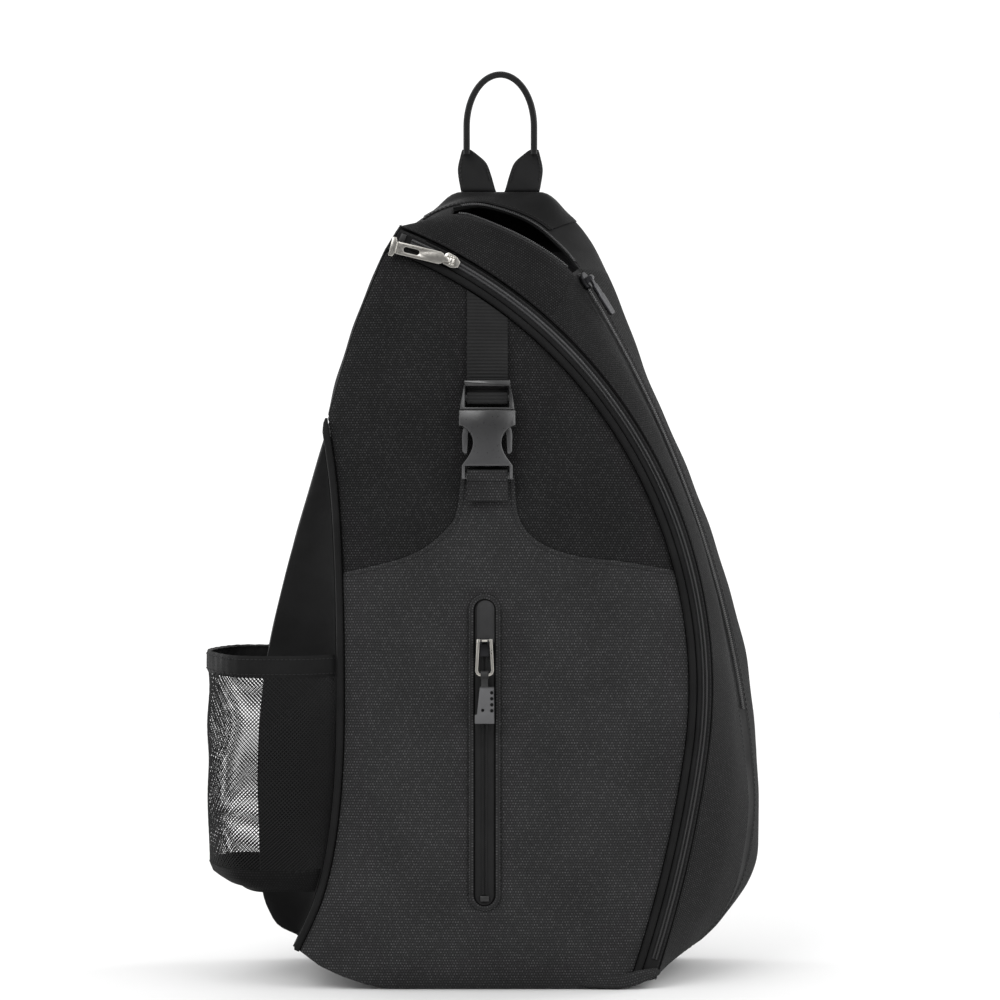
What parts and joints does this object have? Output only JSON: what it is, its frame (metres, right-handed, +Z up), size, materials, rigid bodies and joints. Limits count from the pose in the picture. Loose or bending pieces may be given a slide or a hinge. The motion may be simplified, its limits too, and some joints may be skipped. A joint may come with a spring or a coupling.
{
  "type": "racket sling bag",
  "caption": "Teardrop one-shoulder sling bag for rackets, with front buckle strap, curved zips, a zip pocket, a mesh bottle pocket, a carry loop and a padded strap.",
  "frame": {"origin": "middle of the flat base, where the standing bag rests on the floor", "axes": "+Z up, +Y from the front panel to the back panel that lies on the wearer, +X to the right of the front view"},
  "size_m": [0.3582, 0.1986, 0.5842],
  "materials": {
    "upper_fabric": "matt dobby weave polyester",
    "lower_fabric": "matt two-tone weave polyester",
    "trim_fabric": "smooth plain fabric",
    "lining": "plain lining",
    "mesh": "open elastic net",
    "webbing": "ribbed webbing",
    "air_mesh": "spacer mesh over foam",
    "board": "stiff foam board",
    "black_plastic": "satin moulded acetal",
    "zip_coil": "nylon coil",
    "silver": "polished nickel",
    "gunmetal": "gloss gunmetal",
    "grey_rubber": "ribbed soft rubber"
  },
  "bodies": {
    "bag": {"front_panel_upper": "upper_fabric", "front_panel_lower": "lower_fabric", "front_piping": "trim_fabric", "left_piping": "trim_fabric", "front_zip_tape": "trim_fabric", "front_zip_coil": "zip_coil", "front_gusset_right": "upper_fabric", "front_gusset_top": "upper_fabric", "left_gusset": "trim_fabric", "main_zip_tape": "trim_fabric", "main_zip_coil": "zip_coil", "mouth_lip_front": "trim_fabric", "mouth_lip_rear": "trim_fabric", "rear_gusset_right": "upper_fabric", "rear_gusset_top": "upper_fabric", "rear_gusset_left": "upper_fabric", "base_panel": "lower_fabric", "base_board": "board", "back_panel": "upper_fabric", "back_board": "board", "back_pad_upper": "air_mesh", "back_pad_left": "air_mesh", "back_pad_right": "air_mesh", "divider": "lining", "pocket_pouch": "lining", "pocket_welt": "lower_fabric", "pocket_zip_tape": "trim_fabric", "pocket_zip_coil": "zip_coil", "pocket_garage": "lower_fabric", "zip_stops": "silver", "mesh_pocket": "mesh", "mesh_pocket_hem": "trim_fabric", "mesh_pocket_base": "mesh", "buckle_webbing": "webbing", "buckle_socket": "black_plastic", "socket_webbing": "lower_fabric", "handle_patch": "trim_fabric", "strap_anchor_patch": "trim_fabric", "sling_strap_pad": "air_mesh", "sling_webbing": "webbing", "anchor_wing_right": "trim_fabric", "anchor_wing_left": "trim_fabric", "square_ring_right": "black_plastic"},
    "front_slider": {"front_slider": "silver"},
    "front_puller": {"front_puller": "silver"},
    "main_slider": {"main_slider": "gunmetal"},
    "main_puller": {"main_puller": "gunmetal"},
    "pocket_slider": {"pocket_slider": "silver"},
    "pocket_bail": {"pocket_bail": "silver"},
    "pocket_pull": {"pocket_pull": "grey_rubber"},
    "plug": {"buckle_plug": "black_plastic", "plug_webbing": "webbing"},
    "prong_left": {"prong_left": "black_plastic"},
    "prong_right": {"prong_right": "black_plastic"},
    "handle": {"handle_loop": "webbing", "handle_tab_left": "trim_fabric", "handle_tab_right": "trim_fabric"},
    "adjuster": {"strap_adjuster": "black_plastic"},
    "spare_ring": {"d_ring_left": "black_plastic"}
  },
  "joints": [
    {"name": "front_zip", "type": "hinge", "parent": "bag", "child": "front_slider", "pos_m": [-0.182, -0.0476, 0.19152], "axis": [0, -0.9954, 0.0958], "range_deg": [-68, 4]},
    {"name": "front_puller_lift", "type": "hinge", "parent": "front_slider", "child": "front_puller", "pos_m": [-0.03422, -0.02729, 0.46299], "axis": [0.2334, 0.0932, 0.9679], "range_deg": [0, 150]},
    {"name": "main_zip", "type": "hinge", "parent": "bag", "child": "main_slider", "pos_m": [-0.5647, 0.005, 0.0607], "axis": [0, -1, 0], "range_deg": [-22.2, 0]},
    {"name": "main_puller_lift", "type": "hinge", "parent": "main_slider", "child": "main_puller", "pos_m": [0.05495, 0.00236, 0.45091], "axis": [-0.3784, -0.8944, -0.2383], "range_deg": [0, 150]},
    {"name": "pocket_zip", "type": "slide", "parent": "bag", "child": "pocket_slider", "axis": [0, 0.0958, 0.9954], "range_m": [-0.15, 0.002]},
    {"name": "pocket_bail_lift", "type": "hinge", "parent": "pocket_slider", "child": "pocket_bail", "pos_m": [-0.013, -0.06597, 0.22292], "axis": [-1, 0, 0], "range_deg": [0, 100]},
    {"name": "pocket_pull_lift", "type": "hinge", "parent": "pocket_bail", "child": "pocket_pull", "pos_m": [-0.013, -0.06804, 0.20142], "axis": [-1, 0, 0], "range_deg": [0, 70]},
    {"name": "plug_slide", "type": "slide", "parent": "bag", "child": "plug", "axis": [0, 0.165, 0.9863], "range_m": [0, 0.03], "deforming": ["buckle_webbing"]},
    {"name": "prong_left_press", "type": "hinge", "parent": "plug", "child": "prong_left", "pos_m": [-0.0229, -0.04842, 0.36803], "axis": [0, -0.9863, 0.165], "range_deg": [0, 7], "stiffness_Nm_per_rad": 0.5},
    {"name": "prong_right_press", "type": "hinge", "parent": "plug", "child": "prong_right", "pos_m": [0.0003, -0.04842, 0.36803], "axis": [0, 0.9863, -0.165], "range_deg": [0, 7], "stiffness_Nm_per_rad": 0.5},
    {"name": "handle_tilt", "type": "hinge", "parent": "bag", "child": "handle", "pos_m": [-0.003, 0.044, 0.5084], "axis": [1, 0, 0], "range_deg": [-40, 50], "stiffness_Nm_per_rad": 0.05},
    {"name": "strap_adjust", "type": "slide", "parent": "bag", "child": "adjuster", "axis": [0.2741, -0.2045, -0.9397], "range_m": [-0.025, 0.045]},
    {"name": "spare_ring_swing", "type": "hinge", "parent": "bag", "child": "spare_ring", "pos_m": [-0.113, 0.078, 0.066], "axis": [0.96, 0, -0.28], "range_deg": [0, 170]}
  ]
}
